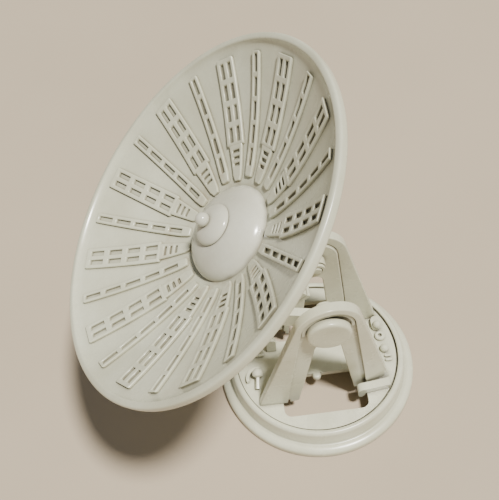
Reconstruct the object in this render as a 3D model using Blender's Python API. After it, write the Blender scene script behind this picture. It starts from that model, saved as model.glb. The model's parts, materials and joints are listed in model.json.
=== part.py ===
"""Small dish antenna on a turntable base.

An open parabolic dish with moulded ladder panels and a domed feed tilts on two trunnion pins, between
two A-shaped brackets. The brackets stand on a round plate that turns inside a stepped ring base.

Frame: +Z up, origin at the centre of the base ring's underside, on the azimuth axis. At rest the dish
looks towards -Y and up, and the tilt axis runs along X. Dimensions below are in millimetres.
"""

import math

import bmesh
import bpy
from mathutils import Matrix, Vector

MM = 0.001
GAP = 0.3  # clearance between neighbouring pieces
RUN = 0.08  # radial clearance of the pins in their bores
BITE = 0.4  # how far shapes that become one piece run into each other

# Dish
DISH_RADIUS = 50.0
DISH_DEPTH = 17.5
BOWL_POWER = 1.65  # the bowl is a little more conical than a parabola, whose power is 2
BOWL_WALL = 1.7
LIP_WIDTH = 2.4
LIP_HEIGHT = 2.7
DISH_ELEVATION = math.radians(48.6)  # above the horizon at rest
DISH_REACH = 55.5  # from the tilt axis to the rim plane, along the dish's axis
DISH_RISE = 3.3  # of the dish's axis above the tilt axis

# Ladder panels on the bowl
PANEL_PAIRS = 11  # wide and narrow panels alternate
PANEL_PHASE = math.radians(157.0)
PANEL_OUTER = 45.5
PANEL_HEIGHT = 0.75
WIDE_INNER = 14.8
WIDE_STEP = 24.0  # the wide panel narrows here
WIDE_WIDTH = 6.3
WIDE_NECK_WIDTH = 5.0
WIDE_TIP_WIDTH = 2.6
NARROW_INNER = 15.6
NARROW_WIDTH = 3.0

# Feed at the centre of the bowl
HUB_RADIUS = 13.5
HUB_HEIGHT = 6.0
HUB_DEPTH = 15.4  # of the hub's foot behind the rim plane
FEED_RADIUS = 5.8
FEED_HEIGHT = 2.5
TIP_RADIUS = 1.9
TIP_SINK = 0.2  # of the ball's centre above the flat it rests on

# Tilt pivot and fork
PIVOT_Y = 1.3
PIVOT_Z = 49.0
PIN_RADIUS = 1.4
PIN_HEAD_RADIUS = 6.5
PIN_HEAD_HEIGHT = 2.4
TINE_OUTER_X = 10.1
TINE_WIDTH = 2.7
TINE_EYE_RADIUS = 2.8
TINE_DROP = math.radians(30.0)  # of the tines below the dish's axis
TINE_LENGTH = 48.0
TINE_TOP = 0.4  # tine's upper edge above the line through the pivot
TINE_BOTTOM = -5.6
CROSSBAR_AT = 27.0  # along the tines
HOUSING_BACK = 4.0  # along the dish's axis from the pivot
HOUSING_WIDTH = 8.0
HOUSING_TOP = -1.0  # relative to the line through the pivot along the dish's axis
HOUSING_BOTTOM = -9.0

# Brackets
BRACKET_OUTER_X = 14.5
BORDER_THICKNESS = 3.4
BORDER_SLOPE = 0.14  # the border's face falls away from its inner crease to its outer edge
NEAR_TWIST = math.radians(6.5)  # the near bracket stands a little askew
WEB_OUTER_X = 13.5
WEB_INNER_X = 11.0
ARCH_RADIUS = 10.0
FOOT_HALF = 20.9
NEAR_SPLAY = 1.3  # the near bracket's left foot reaches this much further out
NEAR_CREASE = (8.0, 13.0)  # radius of its arc, and half its width at the foot
FAR_CREASE = (7.0, 11.2)
WINDOW_TOP_DROP = 12.0  # of the window arc's centre below the pivot
WINDOW_STEP_Z = 13.2  # the window widens below this, over the plate's opening
NEAR_WINDOW = (4.0, 8.0, 8.2, 9.1)  # arc radius, then half widths above and below the step and at the foot
FAR_WINDOW = (2.4, 4.6, 8.9, 9.1)

# Turntable plate
PLATE_TOP = 8.4
PLATE_THICKNESS = 2.0
PLATE_RADIUS = 26.4
FLANGE_RADIUS = 27.2
FLANGE_HEIGHT = 0.9
OPENING_NEAR_X = 6.6
OPENING_FAR_X = 20.8
OPENING_LEFT_Y = -13.2
OPENING_RIGHT_Y = 14.0
OPENING_CORNER = 2.4

# Base ring
RING_RADIUS = 32.3
RING_FLANGE_HEIGHT = 3.4
RING_WALL_RADIUS = 29.3
RING_CREST_RADIUS = 27.9
RING_CREST_HEIGHT = 9.2
RING_LIP_RADIUS = 26.8
RING_BORE_RADIUS = 27.6
GROOVE_RADIUS = 28.3
GROOVE_LOW = 4.7
GROOVE_HIGH = 6.3
SNAP_RING_OUTER = 28.0
SNAP_RING_INNER = 25.7
SNAP_RING_MOUTH = math.radians(14)  # half its open angle

ROUND = 48  # sides of the large turned pieces

PLASTIC = (0.60, 0.59, 0.52, 1.0)
PLASTIC_SHADE = (0.50, 0.48, 0.42, 1.0)
STEEL = (0.55, 0.55, 0.56, 1.0)


def clear_scene():
    for obj in list(bpy.data.objects):
        bpy.data.objects.remove(obj, do_unlink=True)


def material(name, color, roughness, metallic=0.0):
    made = bpy.data.materials.new(name)
    made.use_nodes = True
    shader = made.node_tree.nodes["Principled BSDF"]
    shader.inputs["Base Color"].default_value = color
    shader.inputs["Roughness"].default_value = roughness
    shader.inputs["Metallic"].default_value = metallic
    return made


def object_from(name, bm, parent=None, smooth=True):
    """A mesh object from a bmesh in millimetres, sized in metres."""
    bmesh.ops.remove_doubles(bm, verts=bm.verts, dist=1e-5)
    bmesh.ops.recalc_face_normals(bm, faces=bm.faces)
    bmesh.ops.scale(bm, vec=(MM, MM, MM), verts=bm.verts)
    mesh = bpy.data.meshes.new(name)
    bm.to_mesh(mesh)
    bm.free()
    obj = bpy.data.objects.new(name, mesh)
    bpy.context.scene.collection.objects.link(obj)
    if smooth:
        mesh.shade_smooth()
        mesh.set_sharp_from_angle(angle=math.radians(35))
    mesh.materials.append(material(name, PLASTIC, 0.38))
    obj.parent = parent
    return obj


def paint(obj, color, roughness, metallic=0.0):
    shader = obj.data.materials[0].node_tree.nodes["Principled BSDF"]
    shader.inputs["Base Color"].default_value = color
    shader.inputs["Roughness"].default_value = roughness
    shader.inputs["Metallic"].default_value = metallic


def add_turned(bm, profile, sides=ROUND, frame=Matrix()):
    """Turns a closed profile of (radius, height) points about the frame's Z axis."""
    rings = []
    for radius, height in profile:
        if radius < 1e-6:
            rings.append([bm.verts.new(frame @ Vector((0, 0, height)))])
            continue
        ring = []
        for i in range(sides):
            turn = 2 * math.pi * i / sides
            point = Vector((radius * math.cos(turn), radius * math.sin(turn), height))
            ring.append(bm.verts.new(frame @ point))
        rings.append(ring)
    for first, second in zip(rings, rings[1:] + rings[:1]):
        if len(first) == 1 and len(second) == 1:
            continue
        for i in range(sides):
            j = (i + 1) % sides
            corners = [first[i % len(first)], first[j % len(first)]]
            corners += [second[j % len(second)], second[i % len(second)]]
            bm.faces.new(list(dict.fromkeys(corners)))


def turned(name, profile, sides=ROUND, frame=Matrix(), parent=None):
    bm = bmesh.new()
    add_turned(bm, profile, sides, frame)
    return object_from(name, bm, parent)


def add_prism(bm, outline, low, high, place):
    """A prism over a closed 2-D outline: place(u, v, height) gives each corner's point."""
    bottom = [bm.verts.new(place(u, v, low)) for u, v in outline]
    top = [bm.verts.new(place(u, v, high)) for u, v in outline]
    count = len(outline)
    for i in range(count):
        j = (i + 1) % count
        bm.faces.new((bottom[i], bottom[j], top[j], top[i]))
    bm.faces.new(list(reversed(bottom)))
    bm.faces.new(top)


def upright(u, v, height):
    """Outline in X and Y, height along Z."""
    return Vector((u, v, height))


def sideways(u, v, height):
    """Outline in Y and Z, height along X."""
    return Vector((height, u, v))


def dish_plane(u, v, height):
    """Outline along and across the dish's axis, from the pivot, height along X."""
    return pivot_point() + u * DISH_AXIS + v * DISH_UP + Vector((height, 0, 0))


def prism(name, outline, low, high, place=upright, parent=None):
    bm = bmesh.new()
    add_prism(bm, outline, low, high, place)
    return object_from(name, bm, parent, smooth=len(outline) > 8)


def helper(obj):
    """Keeps a cutter or a second shape out of the build."""
    obj.hide_render = True
    obj.display_type = "WIRE"
    return obj


def combine(obj, other, operation):
    helper(other)
    modifier = obj.modifiers.new(operation.lower() + "_" + other.name, "BOOLEAN")
    modifier.operation = operation
    modifier.solver = "EXACT"
    modifier.object = other


def arc(center_u, center_v, radius, start, end, steps):
    """Points on an arc, angles in radians."""
    points = []
    for i in range(steps + 1):
        turn = start + (end - start) * i / steps
        points.append((center_u + radius * math.cos(turn), center_v + radius * math.sin(turn)))
    return points


def rounded_box(u0, v0, u1, v1, radius, steps=5):
    quarter = math.pi / 2
    corners = ((u1, v1, 0), (u0, v1, 1), (u0, v0, 2), (u1, v0, 3))
    points = []
    for u, v, turn in corners:
        center_u = u - radius if u == u1 else u + radius
        center_v = v - radius if v == v1 else v + radius
        points += arc(center_u, center_v, radius, turn * quarter, (turn + 1) * quarter, steps)
    return points


def tangent_angle(radius, rise, foot_half):
    """Where a line from the foot, this far below and beside the arc's centre, touches the arc."""
    return math.atan2(rise, foot_half) + math.acos(radius / math.hypot(foot_half, rise))


def arch(radius, center_v, foot_half, foot_v, splay=0.0, steps=16):
    """An arch from the right foot, over an arc about (pivot, center_v), to the left foot."""
    left_half = foot_half + splay
    start = tangent_angle(radius, foot_v - center_v, foot_half)
    end = math.pi - tangent_angle(radius, foot_v - center_v, left_half)
    points = [(foot_half, foot_v)] + arc(0, center_v, radius, start, end, steps) + [(-left_half, foot_v)]
    return [(PIVOT_Y + u, v) for u, v in points]


DISH_AXIS = Vector((0, -math.cos(DISH_ELEVATION), math.sin(DISH_ELEVATION)))
DISH_UP = Vector((0, math.sin(DISH_ELEVATION), math.cos(DISH_ELEVATION)))


def pivot_point():
    return Vector((0, PIVOT_Y, PIVOT_Z))


def dish_frame():
    """Origin at the centre of the rim plane, Z along the dish's axis, X along the tilt axis."""
    center = pivot_point() + DISH_REACH * DISH_AXIS + DISH_RISE * DISH_UP
    axes = (Vector((1, 0, 0)), DISH_UP, DISH_AXIS)
    frame = Matrix([[axes[column][row] for column in range(3)] for row in range(3)]).to_4x4()
    frame.translation = center
    return frame


def bowl_depth(radius):
    """Depth of the bowl's inner face behind the rim plane."""
    return DISH_DEPTH * (1 - (radius / DISH_RADIUS) ** BOWL_POWER)


def make_base_ring():
    top = RING_CREST_HEIGHT
    profile = [
        (RING_BORE_RADIUS, 0.0),
        (RING_RADIUS - 0.4, 0.0),
        (RING_RADIUS, 0.5),
        (RING_RADIUS, 2.0),
        (RING_RADIUS - 0.5, 2.9),
        (RING_RADIUS - 1.5, RING_FLANGE_HEIGHT),
        (RING_WALL_RADIUS + 0.3, RING_FLANGE_HEIGHT + 0.1),
        (RING_WALL_RADIUS, RING_FLANGE_HEIGHT + 0.6),
        (RING_WALL_RADIUS - 0.5, top - 0.9),
        (RING_WALL_RADIUS - 0.9, top - 0.3),
        (RING_CREST_RADIUS, top),
        (RING_LIP_RADIUS + 0.3, top - 0.2),
        (RING_LIP_RADIUS, top - 0.6),
        (RING_LIP_RADIUS, 7.7),
        (RING_BORE_RADIUS, 7.7),
        (RING_BORE_RADIUS, GROOVE_HIGH),
        (GROOVE_RADIUS, GROOVE_HIGH),
        (GROOVE_RADIUS, GROOVE_LOW),
        (RING_BORE_RADIUS, GROOVE_LOW),
    ]
    turned("base_ring", profile)


def make_snap_ring():
    """An open spring ring in the base ring's groove, which keeps the plate from lifting out."""
    ends = (SNAP_RING_MOUTH, 2 * math.pi - SNAP_RING_MOUTH)
    outline = arc(0, 0, SNAP_RING_OUTER, ends[0], ends[1], 40)
    outline += arc(0, 0, SNAP_RING_INNER, ends[1], ends[0], 40)
    top = PLATE_TOP - PLATE_THICKNESS - GAP
    paint(prism("snap_ring", outline, GROOVE_LOW + GAP, top), STEEL, 0.35, 1.0)


def make_plate(parent):
    low = PLATE_TOP - PLATE_THICKNESS
    profile = [
        (0, low),
        (FLANGE_RADIUS, low),
        (FLANGE_RADIUS, low + FLANGE_HEIGHT),
        (PLATE_RADIUS, low + FLANGE_HEIGHT),
        (PLATE_RADIUS, PLATE_TOP - 0.2),
        (PLATE_RADIUS - 0.2, PLATE_TOP),
        (0, PLATE_TOP),
    ]
    plate = turned("turntable_plate", profile, parent=parent)
    for side, name in ((1, "near"), (-1, "far")):
        xs = sorted((side * OPENING_NEAR_X, side * OPENING_FAR_X))
        outline = rounded_box(xs[0], OPENING_LEFT_Y, xs[1], OPENING_RIGHT_Y, OPENING_CORNER)
        cutter = prism(f"cut_opening_{name}", outline, low - 2, PLATE_TOP + 2)
        combine(plate, cutter, "DIFFERENCE")
    return plate


def add_border(bm, outer, crease, side, twist):
    """The border between two arches. Its face is highest at the crease and slopes back to the outer edge."""
    back_x = BRACKET_OUTER_X - BORDER_THICKNESS

    def corner(point, x):
        return bm.verts.new((side * x - (point[0] - PIVOT_Y) * twist, point[0], point[1]))

    rings = []
    for point, inner in zip(outer, crease):
        width = math.hypot(point[0] - inner[0], point[1] - inner[1])
        edge_x = BRACKET_OUTER_X - BORDER_SLOPE * width
        rings.append((
            corner(inner, back_x),
            corner(inner, BRACKET_OUTER_X),
            corner(point, edge_x),
            corner(point, back_x),
        ))
    for first, second in zip(rings, rings[1:]):
        for i in range(4):
            j = (i + 1) % 4
            bm.faces.new((first[i], first[j], second[j], second[i]))
    bm.faces.new(rings[0])
    bm.faces.new(rings[-1][::-1])


def window_outline(size, foot):
    radius, above, below, foot_half = size
    outline = arch(radius, PIVOT_Z - WINDOW_TOP_DROP, above, WINDOW_STEP_Z)
    right = [(PIVOT_Y + foot_half, foot), (PIVOT_Y + below, WINDOW_STEP_Z - 0.6)]
    left = [(PIVOT_Y - below, WINDOW_STEP_Z - 0.6), (PIVOT_Y - foot_half, foot)]
    return right + outline + left


def make_bracket(name, side, twist, crease_size, window_size, parent):
    """An A-shaped bracket: a raised border round a set-back web with the pin's bore."""
    foot = PLATE_TOP + GAP
    strip_foot = PLATE_TOP - PLATE_THICKNESS + 0.2
    outer = arch(ARCH_RADIUS, PIVOT_Z, FOOT_HALF, foot, NEAR_SPLAY if side > 0 else 0.0)
    crease_radius, crease_half = crease_size
    crease = arch(crease_radius, PIVOT_Z, crease_half, foot)
    bm = bmesh.new()
    add_border(bm, outer, crease, side, twist)
    bracket = object_from(name, bm, parent)
    strip = crease_half - 0.8
    web = arch(crease_radius + BITE, PIVOT_Z, crease_half + BITE, foot + 0.1)
    web = [(PIVOT_Y + strip, strip_foot), (PIVOT_Y + strip, foot + 0.1)] + web
    web += [(PIVOT_Y - strip, foot + 0.1), (PIVOT_Y - strip, strip_foot)]
    window = window_outline(window_size, strip_foot)

    def askew(u, v, height):
        return Vector((height - (u - PIVOT_Y) * twist, u, v))

    faces = sorted((side * WEB_INNER_X, side * WEB_OUTER_X))
    inside = prism(f"{name}_web", web + window[::-1], *faces, askew, parent)
    combine(bracket, inside, "UNION")
    bore = [(0, -20), (PIN_RADIUS + RUN, -20), (PIN_RADIUS + RUN, 20), (0, 20)]
    turn = Matrix.Translation(pivot_point()) @ Matrix.Rotation(math.pi / 2, 4, "Y")
    combine(bracket, turned(f"cut_{name}_bore", bore, 24, turn), "DIFFERENCE")
    return bracket


def make_pin(name, side, parent):
    """A stub pin with a broad round head outside the bracket and a clip inside the tine."""
    turn = Matrix.Rotation(side * math.pi / 2, 4, "Y")
    frame = Matrix.Translation(pivot_point()) @ turn
    head = WEB_OUTER_X + 0.8
    inner = TINE_OUTER_X - TINE_WIDTH
    profile = [
        (0, inner - 1.6),
        (PIN_RADIUS, inner - 1.6),
        (PIN_RADIUS, head),
        (PIN_HEAD_RADIUS, head),
        (PIN_HEAD_RADIUS, head + PIN_HEAD_HEIGHT - 0.6),
        (PIN_HEAD_RADIUS - 0.5, head + PIN_HEAD_HEIGHT - 0.1),
        (PIN_HEAD_RADIUS - 1.4, head + PIN_HEAD_HEIGHT),
        (0, head + PIN_HEAD_HEIGHT - 0.1),
    ]
    turned(f"trunnion_pin_{name}", profile, 24, frame, parent)
    clip = [
        (PIN_RADIUS + GAP, inner - 1.2),
        (PIN_RADIUS + 1.1, inner - 1.2),
        (PIN_RADIUS + 1.1, inner - GAP),
        (PIN_RADIUS + GAP, inner - GAP),
    ]
    paint(turned(f"pin_clip_{name}", clip, 24, frame, parent), STEEL, 0.35, 1.0)


def capsule(center_u, center_v, length, width, steps=8):
    """A straight-sided outline with round ends, its length along U."""
    half = (length - width) / 2
    quarter = math.pi / 2
    right = arc(center_u + half, center_v, width / 2, -quarter, quarter, steps)
    return right + arc(center_u - half, center_v, width / 2, quarter, 3 * quarter, steps)


def ball_profile(radius, center, steps=8):
    points = []
    for i in range(steps + 1):
        turn = -math.pi / 2 + math.pi * i / steps
        points.append((max(0.0, radius * math.cos(turn)), center + radius * math.sin(turn)))
    points[0] = (0, center - radius)
    points[-1] = (0, center + radius)
    return points


def rod_frame(start, end):
    """Frame at start with Z towards end."""
    along = (Vector(end) - Vector(start)).normalized()
    return Matrix.Translation(start) @ along.to_track_quat("Z", "Y").to_matrix().to_4x4()


def make_lever(parent):
    """A stalk with a ball end, lying over the plate, and the curved guard beside it."""
    start = Vector((10.2, -20.8, PLATE_TOP + 1.1))
    end = Vector((5.6, -20.2, PLATE_TOP + 2.7))
    length = (end - start).length
    frame = rod_frame(start, end)
    bm = bmesh.new()
    profile = [(0, 0), (0.8, 0), (0.65, length - 1.2)]
    profile += [point for point in ball_profile(1.9, length) if point[1] > length - 1.2]
    add_turned(bm, profile, 16, frame)
    object_from("ball_lever", bm, parent)
    foot = PLATE_TOP + GAP
    guard = arc(6.4, -20.2, 4.0, math.radians(165), math.radians(285), 10)
    guard += arc(6.4, -20.2, 3.0, math.radians(285), math.radians(165), 10)
    prism("lever_guard", guard, foot, foot + 1.3, upright, parent)


def make_plate_details(parent):
    foot = PLATE_TOP + GAP
    prism("cable_box", capsule(-8.3, 21.5, 5.0, 3.4), foot, foot + 1.8, upright, parent)
    place = Matrix.Translation((-7.0, 21.5, foot + 1.8 + GAP))
    turned("box_stud", [(0, 0), (1.3, 0)] + ball_profile(1.3, 0.5)[4:], 16, place, parent)
    place = Matrix.Translation((-3.7, 22.0, foot))
    ferrule = [(0.7, 0), (1.7, 0), (1.7, 0.7), (1.4, 1.0), (0.7, 1.0)]
    turned("cable_ferrule", ferrule, 16, place, parent)
    place = Matrix.Translation((1.2, 22.5, foot))
    turned("round_stud", [(0, 0), (1.4, 0)] + ball_profile(1.4, 0.7)[4:], 16, place, parent)
    for number, x in enumerate((3.9, 5.4), 1):
        prism(f"grip_bar_{number}", capsule(23.2, x, 2.4, 0.8, 3), foot, foot + 0.7, swapped, parent)
    make_clevis(parent)
    prism("stop_tab", tab_outline(), -4.6, -3.2, sideways, parent)
    make_latch(parent)


def swapped(u, v, height):
    """Outline in Y and X, height along Z."""
    return Vector((v, u, height))


def tab_outline():
    foot = PLATE_TOP + GAP
    return [(-13.0, foot)] + arc(-14.6, foot + 5.4, 1.6, 0, math.pi, 8) + [(-16.2, foot)]


def make_clevis(parent):
    """Two pointed lugs on one small foot."""
    foot = PLATE_TOP + GAP
    base = prism("lug_block", rounded_box(-4.4, -20.6, -1.6, -17.4, 0.6), foot, foot + 1.0, upright, parent)
    for number, y in enumerate((-19.9, -18.1), 1):
        lug = [(y - 0.6, foot + 0.5), (y + 0.6, foot + 0.5), (y + 0.6, foot + 2.4)]
        lug += [(y, foot + 4.0), (y - 0.6, foot + 2.4)]
        combine(base, prism(f"lug_{number}", lug, -3.9, -2.3, sideways, parent), "UNION")


def make_latch(parent):
    """A wedge-topped bar along the foot of the near bracket, with a rounded hook over the opening."""
    foot = PLATE_TOP + GAP
    profile = [(21.6, foot), (21.6, foot + 2.2), (12.6, foot + 2.6)]
    profile += arc(12.4, foot + 1.1, 1.5, math.radians(100), math.radians(190), 6)
    profile += [(11.2, foot - 1.4), (12.2, foot - 2.1), (13.2, foot - 1.4), (13.5, foot)]

    def beside_foot(u, v, height):
        return Vector((BRACKET_OUTER_X - (u - PIVOT_Y) * math.tan(NEAR_TWIST) + height, u, v))

    prism("latch_bar", profile, 0.4, 3.0, beside_foot, parent)


def make_bracket_screws(parent):
    """Screws up through the plate into the bracket feet."""
    low = PLATE_TOP - PLATE_THICKNESS
    plate = bpy.data.objects["turntable_plate"]
    number = 0
    for side, bracket in ((1, "near_bracket"), (-1, "far_bracket")):
        for y in (PIVOT_Y - 16.8, PIVOT_Y + 16.8):
            number += 1
            lean = math.tan(NEAR_TWIST) if side > 0 else 0.0
            x = side * (BRACKET_OUTER_X - 2.0) - (y - PIVOT_Y) * lean
            frame = Matrix.Translation((x, y, 0))
            profile = [
                (0, low - 0.9),
                (1.0, low - 0.9),
                (1.0, low - GAP),
                (0.5, low - GAP),
                (0.5, PLATE_TOP + 4.5),
                (0, PLATE_TOP + 4.5),
            ]
            screw = turned(f"bracket_screw_{number}", profile, 12, frame, parent)
            paint(screw, STEEL, 0.35, 1.0)
            bore = [(0, low - 2), (0.7, low - 2), (0.7, PLATE_TOP + 4.8), (0, PLATE_TOP + 4.8)]
            combine(plate, turned(f"cut_plate_{number}", bore, 12, frame, parent), "DIFFERENCE")
            cutter = turned(f"cut_foot_{number}", bore, 12, frame, parent)
            combine(bpy.data.objects[bracket], cutter, "DIFFERENCE")


def make_reflector(parent):
    inner = []
    outer = []
    edge = DISH_RADIUS - LIP_WIDTH
    steps = 9
    for i in range(steps + 1):
        radius = edge * i / steps
        inner.append((radius, -bowl_depth(radius)))
        outer.append((radius, -bowl_depth(radius) - BOWL_WALL))
    lip = [
        (edge + 0.5, -0.4),
        (edge + 1.2, 0.0),
        (DISH_RADIUS - 0.5, -0.1),
        (DISH_RADIUS, -0.7),
        (DISH_RADIUS, -LIP_HEIGHT + 0.6),
        (DISH_RADIUS - 0.7, -LIP_HEIGHT),
    ]
    profile = inner + lip + outer[::-1]
    turned("reflector", profile, 60, dish_frame(), parent)


def make_feed(parent):
    """The hub dome, the small dome on it, and the ball at its tip, one above the other."""
    foot = -HUB_DEPTH
    hub = [(0, foot + GAP)]
    for i in range(9):
        turn = math.pi / 2 * i / 8
        hub.append((HUB_RADIUS * math.cos(turn), foot + GAP + HUB_HEIGHT * math.sin(turn)))
    hub[-1] = (0, foot + GAP + HUB_HEIGHT)
    turned("hub_dome", hub, 36, dish_frame(), parent)
    seat = foot + HUB_HEIGHT + GAP
    flat = seat + GAP
    feed = [(0, flat)]
    for i in range(9):
        turn = math.pi / 2 * i / 8
        feed.append((FEED_RADIUS * math.cos(turn), flat + FEED_HEIGHT * math.sin(turn)))
    feed[-1] = (0, flat + FEED_HEIGHT)
    turned("feed_dome", feed, 24, dish_frame(), parent)
    floor = flat + FEED_HEIGHT + GAP
    tip = ball_profile(TIP_RADIUS, floor + TIP_SINK, 10)
    tip = [(0, floor)] + [point for point in tip if point[1] > floor]
    turned("feed_tip", tip, 20, dish_frame(), parent)


def wide_half_width(radius):
    if radius >= WIDE_STEP:
        return WIDE_WIDTH / 2
    share = (radius - WIDE_INNER) / (WIDE_STEP - WIDE_INNER)
    return (WIDE_TIP_WIDTH + (WIDE_NECK_WIDTH - WIDE_TIP_WIDTH) * share) / 2


def make_panels(parent):
    frame = dish_frame()
    spacing = 2 * math.pi / (2 * PANEL_PAIRS)
    edges = {"wide": [], "narrow": []}
    outer_steps = 8
    for i in range(outer_steps + 1):
        radius = PANEL_OUTER + (WIDE_STEP - PANEL_OUTER) * i / outer_steps
        edges["wide"].append((radius, WIDE_WIDTH / 2))
    for i in range(5):
        radius = WIDE_STEP - 0.05 + (WIDE_INNER - WIDE_STEP) * i / 4
        edges["wide"].append((radius, wide_half_width(radius)))
    for i in range(13):
        radius = PANEL_OUTER + (NARROW_INNER - PANEL_OUTER) * i / 12
        edges["narrow"].append((radius, NARROW_WIDTH / 2))
    for index in range(2 * PANEL_PAIRS):
        kind = "narrow" if index % 2 else "wide"
        turn = PANEL_PHASE - index * spacing
        name = f"{kind}_panel_{index // 2 + 1:02d}"
        make_strip(name, edges[kind], frame @ Matrix.Rotation(turn, 4, "Z"), parent)


def make_strip(name, edges, frame, parent):
    """A thin strip along the frame's X axis that follows the bowl at a small gap."""
    bm = bmesh.new()
    sections = []
    for radius, half in edges:
        surface = -bowl_depth(radius)
        side_surface = -bowl_depth(math.hypot(radius, half))
        low = max(surface, side_surface) + GAP
        corners = ((half, low), (half, low + PANEL_HEIGHT), (-half, low + PANEL_HEIGHT), (-half, low))
        sections.append([bm.verts.new(frame @ Vector((radius, y, z))) for y, z in corners])
    for first, second in zip(sections, sections[1:]):
        for i in range(4):
            j = (i + 1) % 4
            bm.faces.new((first[i], first[j], second[j], second[i]))
    bm.faces.new(sections[0])
    bm.faces.new(sections[-1][::-1])
    return object_from(name, bm, parent)


def tine_point(along, across):
    """A point beside the tine's line, as dish_plane takes it."""
    cos_drop, sin_drop = math.cos(TINE_DROP), math.sin(TINE_DROP)
    return (along * cos_drop + across * sin_drop, -along * sin_drop + across * cos_drop)


def back_reach(rise):
    """Distance from the pivot, along the dish's axis, of the bowl's back at this rise."""
    radius = abs(rise - DISH_RISE)
    return DISH_REACH - bowl_depth(radius) - BOWL_WALL


def make_fork(parent):
    """Two tines from the trunnion pins to the back of the bowl, and the bar that joins them."""
    eye_start = math.asin(TINE_TOP / TINE_EYE_RADIUS)
    outline = arc(0, 0, TINE_EYE_RADIUS, eye_start, math.radians(255), 16)
    outline += [(1.5, TINE_BOTTOM), (TINE_LENGTH - 1.0, TINE_BOTTOM), (TINE_LENGTH - 1.0, TINE_TOP)]
    outline = [tine_point(u, v) for u, v in outline]
    end_high, end_low = outline.pop(), outline.pop()
    for rise in (end_low[1], end_high[1]):
        outline.append((back_reach(rise) - 1.2, rise))
    for side, name in ((1, "near"), (-1, "far")):
        low, high = sorted((side * (TINE_OUTER_X - TINE_WIDTH), side * TINE_OUTER_X))
        tine = prism(f"fork_tine_{name}", outline, low, high, dish_plane, parent)
        turn = Matrix.Translation(pivot_point()) @ Matrix.Rotation(math.pi / 2, 4, "Y")
        clear = PIN_RADIUS + RUN
        bore = turned(f"cut_tine_{name}", [(0, -20), (clear, -20), (clear, 20), (0, 20)], 24, turn)
        combine(tine, bore, "DIFFERENCE")
    middle = (TINE_TOP + TINE_BOTTOM) / 2
    center = tine_point(CROSSBAR_AT, middle)
    half = TINE_OUTER_X - TINE_WIDTH - GAP
    prism("fork_crossbar", arc(*center, 2.0, 0, 2 * math.pi * 15 / 16, 15), -half, half, dish_plane, parent)


def make_housing(parent):
    """The receiver housing on the back of the bowl, its round flange, and its end cover."""
    front = back_reach(DISH_RISE) - 2.6
    outline = rounded_box(HOUSING_BACK + 1.6, HOUSING_BOTTOM, front, HOUSING_TOP, 0.5, 2)
    half = HOUSING_WIDTH / 2
    prism("receiver_housing", outline, -half, half, dish_plane, parent)
    cover = rounded_box(HOUSING_BACK, HOUSING_BOTTOM + 0.3, HOUSING_BACK + 1.3, HOUSING_TOP, 0.4, 2)
    prism("housing_cover", cover, -half + 0.2, half - 0.2, dish_plane, parent)
    depth = -(DISH_REACH - front)
    flange_front = -bowl_depth(0) - BOWL_WALL - GAP
    flange = [(0, depth + GAP), (12.5, depth + GAP), (12.5, flange_front), (0, flange_front)]
    turned("back_flange", flange, 36, dish_frame(), parent)


def main():
    clear_scene()
    bpy.context.scene.unit_settings.system = "METRIC"
    bpy.context.scene.unit_settings.scale_length = 1.0
    make_base_ring()
    make_snap_ring()
    make_plate(None)
    make_bracket("near_bracket", 1, math.tan(NEAR_TWIST), NEAR_CREASE, NEAR_WINDOW, None)
    make_bracket("far_bracket", -1, 0.0, FAR_CREASE, FAR_WINDOW, None)
    make_bracket_screws(None)
    make_pin("near", 1, None)
    make_pin("far", -1, None)
    make_lever(None)
    make_plate_details(None)
    make_reflector(None)
    make_feed(None)
    make_panels(None)
    make_fork(None)
    make_housing(None)


main()
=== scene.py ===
"""Looks for the small dish antenna on its turntable base.

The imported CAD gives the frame: base ring, turntable plate with two A-shaped brackets, and the tilting dish.
This script replaces the large mouldings with finely rounded meshes of about the same size, cuts windows
into the ladder panels, and gives every piece a procedural material. Dimensions are in millimetres.
"""

import json
import math

import bmesh
import bpy
from mathutils import Matrix, Vector

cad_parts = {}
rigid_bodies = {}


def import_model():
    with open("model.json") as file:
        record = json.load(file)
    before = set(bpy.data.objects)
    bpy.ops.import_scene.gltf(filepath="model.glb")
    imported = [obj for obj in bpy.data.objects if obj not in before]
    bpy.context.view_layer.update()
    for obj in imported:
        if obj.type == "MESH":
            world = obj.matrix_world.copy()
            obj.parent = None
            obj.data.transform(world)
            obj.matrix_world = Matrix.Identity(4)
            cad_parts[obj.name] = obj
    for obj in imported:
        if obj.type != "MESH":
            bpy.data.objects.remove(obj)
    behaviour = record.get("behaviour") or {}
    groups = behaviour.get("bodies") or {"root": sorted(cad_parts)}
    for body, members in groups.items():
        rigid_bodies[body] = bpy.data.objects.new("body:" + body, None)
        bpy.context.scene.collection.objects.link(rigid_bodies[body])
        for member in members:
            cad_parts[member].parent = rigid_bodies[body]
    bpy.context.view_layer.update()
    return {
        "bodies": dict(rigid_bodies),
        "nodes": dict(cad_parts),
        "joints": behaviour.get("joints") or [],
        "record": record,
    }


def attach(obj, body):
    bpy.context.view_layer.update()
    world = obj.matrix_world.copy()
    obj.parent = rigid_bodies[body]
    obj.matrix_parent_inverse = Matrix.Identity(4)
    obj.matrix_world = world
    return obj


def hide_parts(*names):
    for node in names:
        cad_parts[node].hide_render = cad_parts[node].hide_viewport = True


MM = 0.001

# Dish
DISH_RADIUS = 50.0
DISH_DEPTH = 17.5
BOWL_POWER = 1.65
BOWL_WALL = 1.7
BACK_FLANGE_RADIUS = 12.5
FLANGE_DEPTH = 2.3  # behind the middle of the bowl's back
FLANGE_CHAMFER = 0.4
LIP_WIDTH = 2.4
LIP_HEIGHT = 2.7
DISH_ELEVATION = math.radians(48.6)
DISH_REACH = 55.5
DISH_RISE = 3.3

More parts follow.
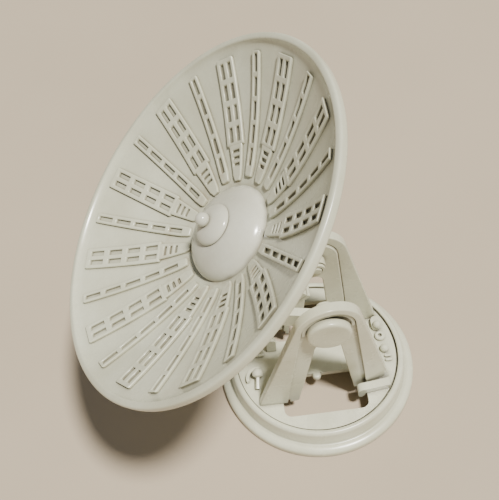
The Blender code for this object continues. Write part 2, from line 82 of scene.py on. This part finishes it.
# Ladder panels
PANEL_PAIRS = 11
PANEL_PHASE = math.radians(157.0)
PANEL_TOP = 0.95
NECK_TOP = 0.85
PANEL_ROOT = -0.15
WIDE_ROWS = (45.5, 44.4, 40.7, 39.3, 35.5, 34.0, 30.2, 28.7, 24.9, 24.0)
WIDE_COLUMNS = (-3.15, -2.1, -0.7, 0.6, 2.0, 3.15)
NECK_ROWS = (24.4, 22.9, 22.1, 21.2, 20.4, 19.5, 18.7, 17.6, 16.2, 15.2, 14.8)
NECK_COLUMNS = (-2.5, -1.5, 0.0, 1.5, 2.5)
NARROW_ROWS = (45.5, 44.9, 40.8, 39.6, 35.2, 34.0, 29.6, 28.4, 24.0, 22.8, 18.4, 16.2, 15.6)
NARROW_COLUMNS = (-1.5, -0.6, 0.6, 1.5)

# Feed
HUB_RADIUS = 13.5
HUB_HEIGHT = 6.0
HUB_DEPTH = 15.4
HUB_SINK = 0.8  # of the visible dome's foot into the bowl
FEED_RADIUS = 5.8
FEED_HEIGHT = 2.5
TIP_RADIUS = 1.9
TIP_SINK = 0.2

# Pivot, fork and housing
PIVOT_Y = 1.3
PIVOT_Z = 49.0
PIN_RADIUS = 1.4
PIN_HEAD_RADIUS = 6.5
PIN_HEAD_BASE = 14.3
PIN_HEAD_TOP = 16.7

# Brackets
BRACKET_OUTER_X = 14.5
BORDER_THICKNESS = 3.4
BORDER_SLOPE = 0.14
NEAR_TWIST = math.radians(6.5)
WEB_OUTER_X = 13.5
WEB_INSIDE = {"near_bracket": (11.0, 0.3), "far_bracket": (10.35, 0.65)}  # inner face, edge rounding
WEB_REACH = {"near_bracket": 0.4, "far_bracket": -0.15}  # how far the web's edge passes the crease
STRIP_INSET = 0.8
ARCH_RADIUS = 10.0
FOOT_HALF = 20.9
NEAR_SPLAY = 1.3  # the near bracket's left foot reaches this much further out
NEAR_CREASE = (8.0, 13.0)  # radius of its arc, and half its width at the foot
FAR_CREASE = (7.0, 11.2)
WINDOW_TOP_DROP = 12.0
WINDOW_STEP_Z = 13.2
WINDOW_STEP_HEIGHT = 0.6
NEAR_WINDOW = (4.0, 8.0, 8.2, 9.1)  # arc radius, then half widths over and under the step, and at the foot
FAR_WINDOW = (2.4, 4.6, 8.9, 9.1)
BEAD_INNER = 6.65
BEAD_ENDS = (math.radians(-8), math.radians(188))

# Turntable plate and base ring
GAP = 0.3
PLATE_TOP = 8.4
PLATE_THICKNESS = 2.0
PLATE_RADIUS = 26.4
FLANGE_RADIUS = 27.2
PLATE_SHIFT = -0.2  # the plate sits a little off centre, so its gap is wider on one side
FLANGE_HEIGHT = 0.9
OPENING_NEAR_X = 6.6
OPENING_FAR_X = 20.8
OPENING_LEFT_Y = -13.2
OPENING_RIGHT_Y = 14.0
OPENING_CORNER = 2.4
RING_RADIUS = 32.3
RING_FLANGE_HEIGHT = 3.4
RING_WALL_RADIUS = 29.3
RING_CREST_RADIUS = 27.9
RING_CREST_HEIGHT = 9.2
RING_LIP_RADIUS = 26.8
RING_BORE_RADIUS = 27.6
GROOVE_RADIUS = 28.3
GROOVE_LOW = 4.7
GROOVE_HIGH = 6.3

DISH_AXIS = Vector((0, -math.cos(DISH_ELEVATION), math.sin(DISH_ELEVATION)))
DISH_UP = Vector((0, math.sin(DISH_ELEVATION), math.cos(DISH_ELEVATION)))
PIVOT = Vector((0, PIVOT_Y, PIVOT_Z))
HUB_CENTER = PIVOT + (DISH_REACH - HUB_DEPTH) * DISH_AXIS + DISH_RISE * DISH_UP

# Camera and light
FOCAL_LENGTH = 59.24
CAMERA_PLACE = Vector((128.96, -19.83, 252.37))
CAMERA_RIGHT = Vector((0.10783, 0.99186, -0.0678))
CAMERA_FORWARD = Vector((-0.583, 0.00785, -0.81244))
SUN_DIRECTION = Vector((0.24, 0.25, 1.0))


# ---------------------------------------------------------------- materials

def node(tree, kind, **values):
    """A shader node. Keys that name an input set it, others set a property."""
    made = tree.nodes.new(kind)
    for key, value in values.items():
        if key in made.inputs:
            made.inputs[key].default_value = value
        else:
            setattr(made, key, value)
    return made


def mapped_noise(tree, scale, detail=4.0, roughness=0.55):
    coordinates = node(tree, "ShaderNodeTexCoord")
    noise = node(tree, "ShaderNodeTexNoise", Scale=scale, Detail=detail, Roughness=roughness)
    tree.links.new(coordinates.outputs["Object"], noise.inputs["Vector"])
    return noise.outputs["Fac"]


def ranged(tree, value, low, high, to_low, to_high):
    made = node(tree, "ShaderNodeMapRange", clamp=True)
    made.inputs["From Min"].default_value = low
    made.inputs["From Max"].default_value = high
    made.inputs["To Min"].default_value = to_low
    made.inputs["To Max"].default_value = to_high
    tree.links.new(value, made.inputs["Value"])
    return made.outputs["Result"]


def multiplied(tree, first, second):
    made = node(tree, "ShaderNodeMath", operation="MULTIPLY")
    for value, socket in zip((first, second), made.inputs):
        if isinstance(value, float):
            socket.default_value = value
        else:
            tree.links.new(value, socket)
    return made.outputs[0]


def mixed(tree, factor, first, second):
    made = tree.nodes.new("ShaderNodeMix")
    made.data_type = "RGBA"
    for value, name in ((factor, "Factor_Float"), (first, "A_Color"), (second, "B_Color")):
        socket = next(one for one in made.inputs if one.identifier == name)
        if isinstance(value, (float, tuple)):
            socket.default_value = value
        else:
            tree.links.new(value, socket)
    return next(one for one in made.outputs if one.identifier == "Result_Color")


def near_hub(tree):
    """1 at the foot of the hub, falling to 0 some way up the bowl."""
    coordinates = node(tree, "ShaderNodeTexCoord")
    distance = node(tree, "ShaderNodeVectorMath", operation="DISTANCE")
    tree.links.new(coordinates.outputs["Object"], distance.inputs[0])
    distance.inputs[1].default_value = HUB_CENTER * MM
    return ranged(tree, distance.outputs["Value"], 12.0 * MM, 30.0 * MM, 1.0, 0.0)


def moulded_plastic(name, color, gloss, stained=0.0, grain=0.12):
    """Warm grey moulded plastic: mottled, worn smooth in places, with painted shade darkening its crevices.
    """
    made = bpy.data.materials.new(name)
    made.use_nodes = True
    tree = made.node_tree
    shader = tree.nodes["Principled BSDF"]
    pale = tuple(min(1.0, part * 1.07) for part in color[:3]) + (1.0,)
    dull = tuple(part * tint for part, tint in zip(color[:3], (0.90, 0.885, 0.85))) + (1.0,)
    # Painted shade: a dark brown mixed in where ambient occlusion finds crevices, window floors and joints,
    # its strength varied by noise.
    painted_shade_color = (0.17, 0.15, 0.10, 1.0)
    broad = ranged(tree, mapped_noise(tree, 55.0), 0.35, 0.65, 0.0, 1.0)
    base = mixed(tree, broad, dull, pale)
    fine = ranged(tree, mapped_noise(tree, 900.0, 2.0), 0.42, 0.62, 0.0, 0.22)
    base = mixed(tree, fine, base, dull)

    shade_occlusion = node(tree, "ShaderNodeAmbientOcclusion", samples=8, only_local=False)
    shade_occlusion.inputs["Distance"].default_value = 2.0 * MM
    painted_shade_mask = ranged(tree, shade_occlusion.outputs["AO"], 0.35, 0.9, 0.95, 0.0)
    patches = ranged(tree, mapped_noise(tree, 140.0, 6.0), 0.3, 0.7, 0.6, 1.0)
    base = mixed(tree, multiplied(tree, painted_shade_mask, patches), base, painted_shade_color)
    if stained:
        spots = ranged(tree, mapped_noise(tree, 210.0, 6.0, 0.65), 0.5, 0.66, 0.0, stained)
        base = mixed(tree, multiplied(tree, spots, near_hub(tree)), base, (0.36, 0.27, 0.16, 1.0))
    tree.links.new(base, shader.inputs["Base Color"])

    worn = ranged(tree, mapped_noise(tree, 120.0, 3.0), 0.3, 0.7, gloss - 0.05, gloss + 0.09)
    tree.links.new(worn, shader.inputs["Roughness"])
    shader.inputs["Specular IOR Level"].default_value = 0.5
    shader.inputs["IOR"].default_value = 1.49
    shader.inputs["Coat Weight"].default_value = 0.2
    shader.inputs["Coat Roughness"].default_value = 0.22

    ripple = node(tree, "ShaderNodeBump")
    ripple.inputs["Strength"].default_value = grain
    ripple.inputs["Distance"].default_value = 0.25 * MM
    tree.links.new(mapped_noise(tree, 260.0, 5.0, 0.6), ripple.inputs["Height"])
    tree.links.new(ripple.outputs["Normal"], shader.inputs["Normal"])
    return made


def brushed_steel(name):
    made = bpy.data.materials.new(name)
    made.use_nodes = True
    tree = made.node_tree
    shader = tree.nodes["Principled BSDF"]
    tone = ranged(tree, mapped_noise(tree, 700.0, 3.0), 0.3, 0.7, 0.0, 1.0)
    base = mixed(tree, tone, (0.46, 0.46, 0.47, 1.0), (0.60, 0.60, 0.61, 1.0))
    tree.links.new(base, shader.inputs["Base Color"])
    worn = ranged(tree, mapped_noise(tree, 300.0, 3.0), 0.3, 0.7, 0.26, 0.42)
    tree.links.new(worn, shader.inputs["Roughness"])
    shader.inputs["Metallic"].default_value = 1.0
    return made


def pale_floor():
    made = bpy.data.materials.new("pale_floor")
    made.use_nodes = True
    tree = made.node_tree
    shader = tree.nodes["Principled BSDF"]
    tone = ranged(tree, mapped_noise(tree, 9.0, 3.0), 0.3, 0.7, 0.0, 1.0)
    base = mixed(tree, tone, (0.46, 0.375, 0.27, 1.0), (0.49, 0.40, 0.29, 1.0))
    tree.links.new(base, shader.inputs["Base Color"])
    shader.inputs["Roughness"].default_value = 0.7
    return made


# ---------------------------------------------------------------- shapes

def object_from(name, bm, finish, rounding=0.0, segments=2, limit=35.0):
    """A mesh object from a bmesh in millimetres, sized in metres, with its edges rounded."""
    bmesh.ops.remove_doubles(bm, verts=bm.verts, dist=1e-5)
    bmesh.ops.recalc_face_normals(bm, faces=bm.faces)
    bmesh.ops.scale(bm, vec=(MM, MM, MM), verts=bm.verts)
    mesh = bpy.data.meshes.new(name)
    bm.to_mesh(mesh)
    bm.free()
    obj = bpy.data.objects.new(name, mesh)
    bpy.context.scene.collection.objects.link(obj)
    mesh.shade_smooth()
    mesh.materials.append(finish)
    if rounding:
        soften(obj, rounding, segments, limit)
    else:
        mesh.set_sharp_from_angle(angle=math.radians(limit))
    return obj


def soften(obj, rounding, segments=2, limit=35.0):
    bevel = obj.modifiers.new("soften", "BEVEL")
    bevel.width = rounding * MM
    bevel.segments = segments
    bevel.limit_method = "ANGLE"
    bevel.angle_limit = math.radians(limit)
    bevel.use_clamp_overlap = True
    bevel.harden_normals = False
    weighted = obj.modifiers.new("even", "WEIGHTED_NORMAL")
    weighted.keep_sharp = True


def settle(obj):
    """Applies the object's modifiers."""
    bpy.context.view_layer.update()
    graph = bpy.context.evaluated_depsgraph_get()
    mesh = bpy.data.meshes.new_from_object(obj.evaluated_get(graph))
    obj.modifiers.clear()
    obj.data = mesh


def cut(obj, cutter, operation="DIFFERENCE"):
    modifier = obj.modifiers.new("cut", "BOOLEAN")
    modifier.operation = operation
    modifier.solver = "EXACT"
    modifier.object = cutter
    settle(obj)
    bpy.data.objects.remove(cutter, do_unlink=True)


def add_turned(bm, profile, sides, frame=Matrix()):
    """Turns a closed profile of (radius, height) points about the frame's Z axis."""
    rings = []
    for radius, height in profile:
        if radius < 1e-6:
            rings.append([bm.verts.new(frame @ Vector((0, 0, height)))])
            continue
        ring = []
        for i in range(sides):
            turn = 2 * math.pi * i / sides
            point = Vector((radius * math.cos(turn), radius * math.sin(turn), height))
            ring.append(bm.verts.new(frame @ point))
        rings.append(ring)
    for first, second in zip(rings, rings[1:] + rings[:1]):
        if len(first) == 1 and len(second) == 1:
            continue
        for i in range(sides):
            j = (i + 1) % sides
            corners = [first[i % len(first)], first[j % len(first)]]
            corners += [second[j % len(second)], second[i % len(second)]]
            bm.faces.new(list(dict.fromkeys(corners)))


def add_prism(bm, outline, low, high, place):
    bottom = [bm.verts.new(place(u, v, low)) for u, v in outline]
    top = [bm.verts.new(place(u, v, high)) for u, v in outline]
    count = len(outline)
    for i in range(count):
        j = (i + 1) % count
        bm.faces.new((bottom[i], bottom[j], top[j], top[i]))
    bm.faces.new(list(reversed(bottom)))
    bm.faces.new(top)


def upright(u, v, height):
    return Vector((u, v, height))


def arc(center_u, center_v, radius, start, end, steps):
    points = []
    for i in range(steps + 1):
        turn = start + (end - start) * i / steps
        points.append((center_u + radius * math.cos(turn), center_v + radius * math.sin(turn)))
    return points


def rounded_box(u0, v0, u1, v1, radius, steps=5):
    quarter = math.pi / 2
    corners = ((u1, v1, 0), (u0, v1, 1), (u0, v0, 2), (u1, v0, 3))
    points = []
    for u, v, turn in corners:
        center_u = u - radius if u == u1 else u + radius
        center_v = v - radius if v == v1 else v + radius
        points += arc(center_u, center_v, radius, turn * quarter, (turn + 1) * quarter, steps)
    return points


def tangent_angle(radius, rise, foot_half):
    """Where a line from the foot, this far below and beside the arc's centre, touches the arc."""
    return math.atan2(rise, foot_half) + math.acos(radius / math.hypot(foot_half, rise))


def between(start, end, steps=6):
    """Points from start towards end, without the end."""
    made = []
    for i in range(steps):
        share = i / steps
        made.append((start[0] + (end[0] - start[0]) * share, start[1] + (end[1] - start[1]) * share))
    return made


def arch(radius, center_v, foot_half, foot_v, splay=0.0, steps=40):
    """An arch from the right foot, over an arc about (pivot, center_v), to the left foot."""
    left_half = foot_half + splay
    start = tangent_angle(radius, foot_v - center_v, foot_half)
    end = math.pi - tangent_angle(radius, foot_v - center_v, left_half)
    over = arc(0, center_v, radius, start, end, steps)
    right = between((foot_half, foot_v), over[0])
    left = between((-left_half, foot_v), over[-1])
    return [(PIVOT_Y + u, v) for u, v in right + over + left[::-1]]


def smooth_profile(points, steps=4):
    """Rounds the corners of a closed profile, whose points are (radius, height, rounding)."""
    made = []
    count = len(points)
    for i, (u, v, rounding) in enumerate(points):
        if rounding <= 0:
            made.append((u, v))
            continue
        here = Vector((u, v))
        before = Vector(points[i - 1][:2]) - here
        after = Vector(points[(i + 1) % count][:2]) - here
        reach = min(rounding, before.length * 0.48, after.length * 0.48)
        start = here + before.normalized() * reach
        end = here + after.normalized() * reach
        for k in range(steps + 1):
            t = k / steps
            point = start * (1 - t) ** 2 + here * 2 * t * (1 - t) + end * t**2
            made.append((point.x, point.y))
    return made


def dish_frame():
    center = PIVOT + DISH_REACH * DISH_AXIS + DISH_RISE * DISH_UP
    axes = (Vector((1, 0, 0)), DISH_UP, DISH_AXIS)
    frame = Matrix([[axes[column][row] for column in range(3)] for row in range(3)]).to_4x4()
    frame.translation = center
    return frame


def bowl_depth(radius):
    return DISH_DEPTH * (1 - (radius / DISH_RADIUS) ** BOWL_POWER)


# ---------------------------------------------------------------- base and turntable

def make_base_ring(finish):
    top = RING_CREST_HEIGHT
    profile = smooth_profile([
        (RING_BORE_RADIUS, 0.0, 0.2),
        (RING_RADIUS, 0.0, 0.5),
        (RING_RADIUS, 2.6, 1.0),
        (RING_RADIUS - 1.5, RING_FLANGE_HEIGHT, 0.7),
        (RING_WALL_RADIUS, RING_FLANGE_HEIGHT, 0.5),
        (RING_WALL_RADIUS - 0.6, top - 0.7, 0.5),
        (RING_CREST_RADIUS, top, 0.7),
        (RING_LIP_RADIUS, top - 0.3, 0.35),
        (RING_LIP_RADIUS, 7.7, 0.1),
        (RING_BORE_RADIUS, 7.7, 0.1),
        (RING_BORE_RADIUS, GROOVE_HIGH, 0.1),
        (GROOVE_RADIUS, GROOVE_HIGH, 0.1),
        (GROOVE_RADIUS, GROOVE_LOW, 0.1),
        (RING_BORE_RADIUS, GROOVE_LOW, 0.1),
    ])
    bm = bmesh.new()
    add_turned(bm, profile, 160)
    ring = object_from("ring_moulding", bm, finish, limit=50)
    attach(ring, "base")
    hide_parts("base_ring")


def make_plate(finish):
    low = PLATE_TOP - PLATE_THICKNESS
    profile = [
        (0, low),
        (FLANGE_RADIUS, low),
        (FLANGE_RADIUS, low + FLANGE_HEIGHT),
        (PLATE_RADIUS, low + FLANGE_HEIGHT),
        (PLATE_RADIUS, PLATE_TOP),
        (0, PLATE_TOP),
    ]
    bm = bmesh.new()
    add_turned(bm, profile, 144, Matrix.Translation((0, PLATE_SHIFT, 0)))
    plate = object_from("plate_moulding", bm, finish)
    for side in (1, -1):
        xs = sorted((side * OPENING_NEAR_X, side * OPENING_FAR_X))
        outline = rounded_box(xs[0], OPENING_LEFT_Y, xs[1], OPENING_RIGHT_Y, OPENING_CORNER, 8)
        bm = bmesh.new()
        add_prism(bm, outline, low - 2, PLATE_TOP + 2, upright)
        cut(plate, object_from("opening", bm, finish))
    bm = bmesh.new()
    for side in (1, -1):
        add_turned(bm, nub_profile(), 24, Matrix.Translation((side * (OPENING_NEAR_X + 0.3), -1.0, 0)))
    nubs = object_from("plate_nubs", bm, finish, 0.15)
    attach(nubs, "turntable")
    soften(plate, 0.3, 3, 50)
    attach(plate, "turntable")
    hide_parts("turntable_plate")


def nub_profile():
    """A low rounded nub on the edge of an opening."""
    low = PLATE_TOP - PLATE_THICKNESS + 0.2
    return [(0, low), (1.5, low), (1.5, PLATE_TOP - 0.5), (1.1, PLATE_TOP), (0, PLATE_TOP + 0.15)]


def add_border(bm, outer, crease, side, twist):
    back_x = BRACKET_OUTER_X - BORDER_THICKNESS

    def corner(point, x):
        return bm.verts.new((side * x - (point[0] - PIVOT_Y) * twist, point[0], point[1]))

    rings = []
    for point, inner in zip(outer, crease):
        width = math.hypot(point[0] - inner[0], point[1] - inner[1])
        edge_x = BRACKET_OUTER_X - BORDER_SLOPE * width
        rings.append((
            corner(inner, back_x),
            corner(inner, BRACKET_OUTER_X),
            corner(point, edge_x),
            corner(point, back_x),
        ))
    for first, second in zip(rings, rings[1:]):
        for i in range(4):
            j = (i + 1) % 4
            bm.faces.new((first[i], first[j], second[j], second[i]))
    bm.faces.new(rings[0])
    bm.faces.new(rings[-1][::-1])


def window_outline(size, foot):
    radius, above, below, foot_half = size
    outline = arch(radius, PIVOT_Z - WINDOW_TOP_DROP, above, WINDOW_STEP_Z)
    step_foot = WINDOW_STEP_Z - WINDOW_STEP_HEIGHT
    right = [(PIVOT_Y + foot_half, foot), (PIVOT_Y + below, step_foot)]
    left = [(PIVOT_Y - below, step_foot), (PIVOT_Y - foot_half, foot)]
    return right + outline + left


def make_bracket(name, side, twist, crease_size, window_size, finish):
    foot = PLATE_TOP + 0.05
    strip_foot = PLATE_TOP - PLATE_THICKNESS + 0.2
    outer = arch(ARCH_RADIUS, PIVOT_Z, FOOT_HALF, foot, NEAR_SPLAY if side > 0 else 0.0)
    crease_radius, crease_half = crease_size
    crease = arch(crease_radius, PIVOT_Z, crease_half, foot)
    bm = bmesh.new()
    add_border(bm, outer, crease, side, twist)
    border = object_from(f"{name}_border", bm, finish, 0.35, 3)
    strip = crease_half - STRIP_INSET
    reach = WEB_REACH[name]
    web = arch(crease_radius + reach, PIVOT_Z, crease_half + reach, foot + 0.1)
    web = [(PIVOT_Y + strip, strip_foot), (PIVOT_Y + strip, foot + 0.1)] + web
    web += [(PIVOT_Y - strip, foot + 0.1), (PIVOT_Y - strip, strip_foot)]
    window = window_outline(window_size, strip_foot)

    def askew(u, v, height):
        return Vector((height - (u - PIVOT_Y) * twist, u, v))

    inner_x, rounding = WEB_INSIDE[name]
    faces = sorted((side * inner_x, side * WEB_OUTER_X))
    bm = bmesh.new()
    add_prism(bm, web + window[::-1], *faces, askew)
    inside = object_from(f"{name}_web", bm, finish)
    bm = bmesh.new()
    turn = Matrix.Translation(PIVOT) @ Matrix.Rotation(math.pi / 2, 4, "Y")
    clear = PIN_RADIUS + 0.08
    add_turned(bm, [(0, -20), (clear, -20), (clear, 20), (0, 20)], 48, turn)
    cut(inside, object_from("bore", bm, finish))
    soften(inside, rounding, 4, 40)
    low, high = BEAD_ENDS
    bead_line = arc(PIVOT_Y, PIVOT_Z, crease_radius - 0.1, low, high, 40)
    bead_line += arc(PIVOT_Y, PIVOT_Z, BEAD_INNER, high, low, 40)
    bm = bmesh.new()
    add_prism(bm, bead_line, *sorted((side * (WEB_OUTER_X - 0.3), side * (WEB_OUTER_X + 0.6))), askew)
    bead = object_from(f"{name}_bead", bm, finish, 0.28, 3)
    for piece in (border, inside, bead):
        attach(piece, "turntable")
    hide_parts(name)


def make_pins(finish):
    for side, name in ((1, "near"), (-1, "far")):
        turn = Matrix.Rotation(side * math.pi / 2, 4, "Y")
        frame = Matrix.Translation(PIVOT) @ turn
        profile = smooth_profile([
            (0, 5.8, 0),
            (PIN_RADIUS, 5.8, 0.3),
            (PIN_RADIUS, PIN_HEAD_BASE, 0.1),
            (PIN_HEAD_RADIUS, PIN_HEAD_BASE, 0.2),
            (PIN_HEAD_RADIUS, PIN_HEAD_TOP - 0.1, 0.9),
            (PIN_HEAD_RADIUS - 2.0, PIN_HEAD_TOP, 1.0),
            (0, PIN_HEAD_TOP - 0.1, 0),
        ])
        bm = bmesh.new()
        add_turned(bm, profile, 64, frame)
        pin = object_from(f"pin_moulding_{name}", bm, finish, limit=50)
        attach(pin, "turntable")
        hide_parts(f"trunnion_pin_{name}")


# ---------------------------------------------------------------- dish

def make_bowl(finish):
    edge = DISH_RADIUS - LIP_WIDTH
    steps = 36
    inner = [(edge * i / steps, -bowl_depth(edge * i / steps)) for i in range(steps + 1)]
    outer = [(radius, height - BOWL_WALL) for radius, height in inner]
    lip = smooth_profile([
        (edge, -bowl_depth(edge), 0),
        (edge + 0.6, -0.15, 0.5),
        (DISH_RADIUS, -0.1, 0.8),
        (DISH_RADIUS, -LIP_HEIGHT, 0.8),
        (edge, -bowl_depth(edge) - BOWL_WALL, 0),
    ])
    bm = bmesh.new()
    add_turned(bm, inner + lip[1:-1] + outer[::-1], 180, dish_frame())
    bowl = object_from("bowl_moulding", bm, finish, limit=60)
    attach(bowl, "dish")
    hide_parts("reflector")


def make_flange(finish):
    """The flange behind the bowl, whose front face follows the bowl's back."""
    low = -DISH_DEPTH - BOWL_WALL - FLANGE_DEPTH
    front = []
    for i in range(8, -1, -1):
        radius = BACK_FLANGE_RADIUS * i / 8
        front.append((radius, -bowl_depth(radius) - BOWL_WALL - 0.05))
    bm = bmesh.new()
    rear = [(0, low), (BACK_FLANGE_RADIUS - FLANGE_CHAMFER, low), (BACK_FLANGE_RADIUS, low + FLANGE_CHAMFER)]
    add_turned(bm, rear + front, 96, dish_frame())
    flange = object_from("flange_moulding", bm, finish, limit=50)
    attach(flange, "dish")
    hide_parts("back_flange")


def dome(radius, height, foot, steps=20):
    points = [(0, foot)]
    for i in range(steps):
        turn = math.pi / 2 * i / steps
        points.append((radius * math.cos(turn), foot + height * math.sin(turn)))
    return points + [(0, foot + height)]


def make_feed(finish):
    foot = -HUB_DEPTH + GAP
    flat = -HUB_DEPTH + HUB_HEIGHT + 2 * GAP
    tip_foot = flat + FEED_HEIGHT + GAP
    pieces = (
        ("hub_moulding", "hub_dome", dome(HUB_RADIUS, HUB_HEIGHT + HUB_SINK, foot - HUB_SINK)),
        ("feed_moulding", "feed_dome", dome(FEED_RADIUS, FEED_HEIGHT, flat - 0.6)),
    )
    for name, replaced, profile in pieces:
        bm = bmesh.new()
        add_turned(bm, profile, 96, dish_frame())
        piece = object_from(name, bm, finish, limit=70)
        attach(piece, "dish")
        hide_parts(replaced)
    center = tip_foot + TIP_SINK
    ball = [(TIP_RADIUS * math.cos(t), center + TIP_RADIUS * math.sin(t)) for t in ball_angles()]
    ball[0] = (0, center - TIP_RADIUS)
    ball[-1] = (0, center + TIP_RADIUS)
    bm = bmesh.new()
    add_turned(bm, ball, 48, dish_frame())
    piece = object_from("tip_moulding", bm, finish, limit=70)
    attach(piece, "dish")
    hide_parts("feed_tip")


def ball_angles(steps=24):
    return [-math.pi / 2 + math.pi * i / steps for i in range(steps + 1)]


def subdivided(values, longest=2.2):
    """The same break points with extra ones, so that no step is longer than this."""
    made = [values[0]]
    for before, after in zip(values, values[1:]):
        count = max(1, math.ceil(abs(after - before) / longest))
        made += [before + (after - before) * i / count for i in range(1, count + 1)]
    return made


def add_ladder(bm, rows, columns, is_window, half_at, frame, top=PANEL_TOP):
    """A strip over the bowl with windows. is_window(row, column) says which cells are open."""
    row_lines = subdivided(rows)
    cells = {}
    for i in range(len(row_lines) - 1):
        middle = (row_lines[i] + row_lines[i + 1]) / 2
        row = next(k for k in range(len(rows) - 1) if rows[k + 1] < middle <= rows[k])
        for j in range(len(columns) - 1):
            cells[i, j] = not is_window(row, j)
    nominal = columns[-1]
    corners = {}

    def corner(i, j, level):
        key = (i, j, level)
        if key not in corners:
            radius = row_lines[i]
            across = columns[j] * half_at(radius) / nominal
            rise = top if level else PANEL_ROOT
            height = -bowl_depth(math.hypot(radius, across)) + rise
            corners[key] = bm.verts.new(frame @ Vector((radius, across, height)))
        return corners[key]

    for (i, j), solid in cells.items():
        if not solid:
            continue
        around = ((i, j), (i, j + 1), (i + 1, j + 1), (i + 1, j))
        bm.faces.new([corner(a, b, 1) for a, b in around])
        bm.faces.new([corner(a, b, 0) for a, b in around[::-1]])
        beyond = ((i - 1, j), (i, j + 1), (i + 1, j), (i, j - 1))
        for k, cell in enumerate(beyond):
            if cells.get(cell):
                continue
            a, b = around[k], around[(k + 1) % 4]
            bm.faces.new((corner(*a, 0), corner(*b, 0), corner(*b, 1), corner(*a, 1)))


def neck_half(radius):
    share = max(0.0, (radius - NECK_ROWS[-1]) / (NECK_ROWS[0] - NECK_ROWS[-1]))
    half = 1.3 + 1.2 * share
    if radius < 15.3:
        half *= 0.75
    return half


def make_panels(finish):
    frame = dish_frame()
    spacing = 2 * math.pi / (2 * PANEL_PAIRS)
    for index in range(2 * PANEL_PAIRS):
        turned_frame = frame @ Matrix.Rotation(PANEL_PHASE - index * spacing, 4, "Z")
        number = index // 2 + 1
        bm = bmesh.new()
        if index % 2:
            kind = "narrow"

            def half_at(radius):
                ends = min(1.0, (radius - NARROW_ROWS[-1]) / 1.2 * 0.3 + 0.7)
                return NARROW_COLUMNS[-1] * ends

            add_ladder(
                bm, NARROW_ROWS, NARROW_COLUMNS,
                lambda row, column: column == 1 and row % 2 == 1 and row < 10,
                half_at, turned_frame,
            )
        else:
            kind = "wide"
            add_ladder(
                bm, WIDE_ROWS, WIDE_COLUMNS,
                lambda row, column: column in (1, 3) and row % 2 == 1,
                lambda radius: WIDE_COLUMNS[-1], turned_frame,
            )
            add_ladder(
                bm, NECK_ROWS, NECK_COLUMNS,
                lambda row, column: column in (1, 2) and row in (1, 3, 5),
                neck_half, turned_frame, NECK_TOP,
            )
        panel = object_from(f"{kind}_ladder_{number:02d}", bm, finish, 0.3, 3, 40)
        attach(panel, "dish")
        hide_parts(f"{kind}_panel_{number:02d}")


# ---------------------------------------------------------------- carried-over nodes, stage

STEEL_NODES = ("snap_ring", "bracket_screw")
ROUNDED_NODES = ("fork_", "receiver", "housing", "latch", "lug", "stop", "cable_box", "grip")


def finish_nodes(body, steel, gloss):
    """Gives each CAD node its material, and rounds the edges of the small mouldings named in ROUNDED_NODES.
    """
    for name, obj in frame["nodes"].items():
        obj.data.materials.clear()
        if name.startswith(STEEL_NODES):
            obj.data.materials.append(steel)
            continue
        obj.data.materials.append(gloss if name in ("feed_dome", "feed_tip", "hub_dome") else body)
        if name.startswith(ROUNDED_NODES):
            weld = obj.modifiers.new("join", "WELD")
            weld.merge_threshold = 1e-6
            soften(obj, 0.25, 3, 30)


def make_stage():
    bm = bmesh.new()
    bmesh.ops.create_grid(bm, x_segments=1, y_segments=1, size=1500.0)
    floor = object_from("floor", bm, pale_floor())


def make_lights():
    world = bpy.data.worlds.new("soft_room")
    bpy.context.scene.world = world
    world.use_nodes = True
    sky = world.node_tree.nodes["Background"]
    sky.inputs["Color"].default_value = (0.93, 0.97, 1.0, 1.0)
    sky.inputs["Strength"].default_value = 0.22
    sun = bpy.data.lights.new("key", "SUN")
    sun.energy = 6.0
    sun.angle = math.radians(7)
    sun.color = (1.0, 0.975, 0.93)
    key = bpy.data.objects.new("key", sun)
    key.rotation_euler = SUN_DIRECTION.to_track_quat("Z", "Y").to_euler()
    bpy.context.scene.collection.objects.link(key)


def make_camera():
    data = bpy.data.cameras.new("camera")
    data.sensor_fit = "HORIZONTAL"
    data.sensor_width = 36.0
    data.lens = FOCAL_LENGTH
    data.clip_start = 0.005
    camera = bpy.data.objects.new("camera", data)
    up = CAMERA_RIGHT.cross(CAMERA_FORWARD)
    axes = (CAMERA_RIGHT.normalized(), up.normalized(), -CAMERA_FORWARD.normalized())
    turn = Matrix([[axes[column][row] for column in range(3)] for row in range(3)]).to_4x4()
    camera.matrix_world = Matrix.Translation(CAMERA_PLACE * MM) @ turn
    bpy.context.scene.collection.objects.link(camera)
    bpy.context.scene.camera = camera


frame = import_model()
BODY = moulded_plastic("body_plastic", (0.64, 0.64, 0.49), 0.25)
DISH = moulded_plastic("dish_plastic", (0.64, 0.64, 0.49), 0.25, stained=0.5)
GLOSS = moulded_plastic("feed_plastic", (0.64, 0.63, 0.52), 0.2, grain=0.05)
STEEL = brushed_steel("steel")
finish_nodes(BODY, STEEL, GLOSS)
make_base_ring(BODY)
make_plate(BODY)
make_bracket("near_bracket", 1, math.tan(NEAR_TWIST), NEAR_CREASE, NEAR_WINDOW, BODY)
make_bracket("far_bracket", -1, 0.0, FAR_CREASE, FAR_WINDOW, BODY)
make_pins(BODY)
make_bowl(DISH)
make_feed(GLOSS)
make_flange(BODY)
make_panels(DISH)
make_stage()
make_lights()
make_camera()
